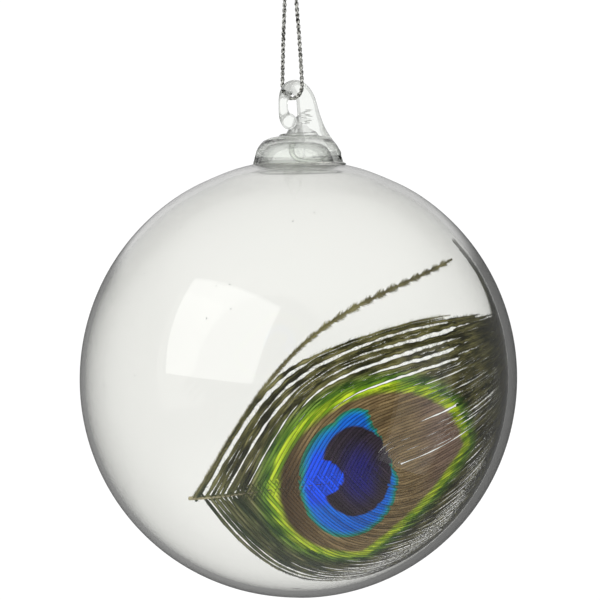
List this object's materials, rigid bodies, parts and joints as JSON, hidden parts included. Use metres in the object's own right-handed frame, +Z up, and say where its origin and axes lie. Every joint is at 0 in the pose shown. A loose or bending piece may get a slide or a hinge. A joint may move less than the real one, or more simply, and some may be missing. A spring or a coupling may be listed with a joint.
{
  "type": "glass ball ornament",
  "caption": "Clear blown-glass ball on a twisted metallic thread, with a glued glass cap, a curled glass eye and a peacock feather pressed round the inside of the wall.",
  "frame": {"origin": "the inner top of the thread loop, just under its knot, on the plumb line", "axes": "+Z up along the plumb line, +X to the right and +Y to the back with the feather's eye at the front"},
  "size_m": [0.08, 0.08, 0.1415],
  "materials": {
    "ball_glass": "clear blown glass, faintly grey-green at the rim",
    "hanger_glass": "clear flame-worked glass",
    "clear_adhesive": "clear cured adhesive",
    "feather_shaft": "smooth horn-like quill",
    "feather_eye": "iridescent blue, bronze and green barbs",
    "feather_barbs": "olive and bronze barbs",
    "silver_thread": "two-ply twisted metallic thread"
  },
  "bodies": {
    "knot": {"cord_knot": "silver_thread", "knot_tails": "silver_thread"},
    "loop": {"hanging_cord": "silver_thread"},
    "glass": {"glass_ball": "ball_glass", "cap_adhesive": "clear_adhesive", "hanger_cap": "hanger_glass", "hanger_hook": "hanger_glass"},
    "feather": {"feather_shaft": "feather_shaft", "eye_upper_vane": "feather_eye", "eye_lower_vane": "feather_eye", "upper_barbs": "feather_barbs", "lower_barbs": "feather_barbs", "tip_barbs": "feather_barbs", "stray_barb": "feather_barbs"}
  },
  "joints": [
    {"name": "twist", "type": "hinge", "parent": "knot", "child": "loop", "pos_m": [0, 0, 0], "axis": [0, 0, 1], "range_deg": [-180, 180]},
    {"name": "swing", "type": "hinge", "parent": "loop", "child": "glass", "pos_m": [0, 0, -0.04], "axis": [0.7431, -0.6691, 0], "range_deg": [-60, 60]},
    {"name": "feather_turn", "type": "hinge", "parent": "glass", "child": "feather", "pos_m": [0, 0, -0.09], "axis": [0, 0, 1], "continuous": true}
  ]
}
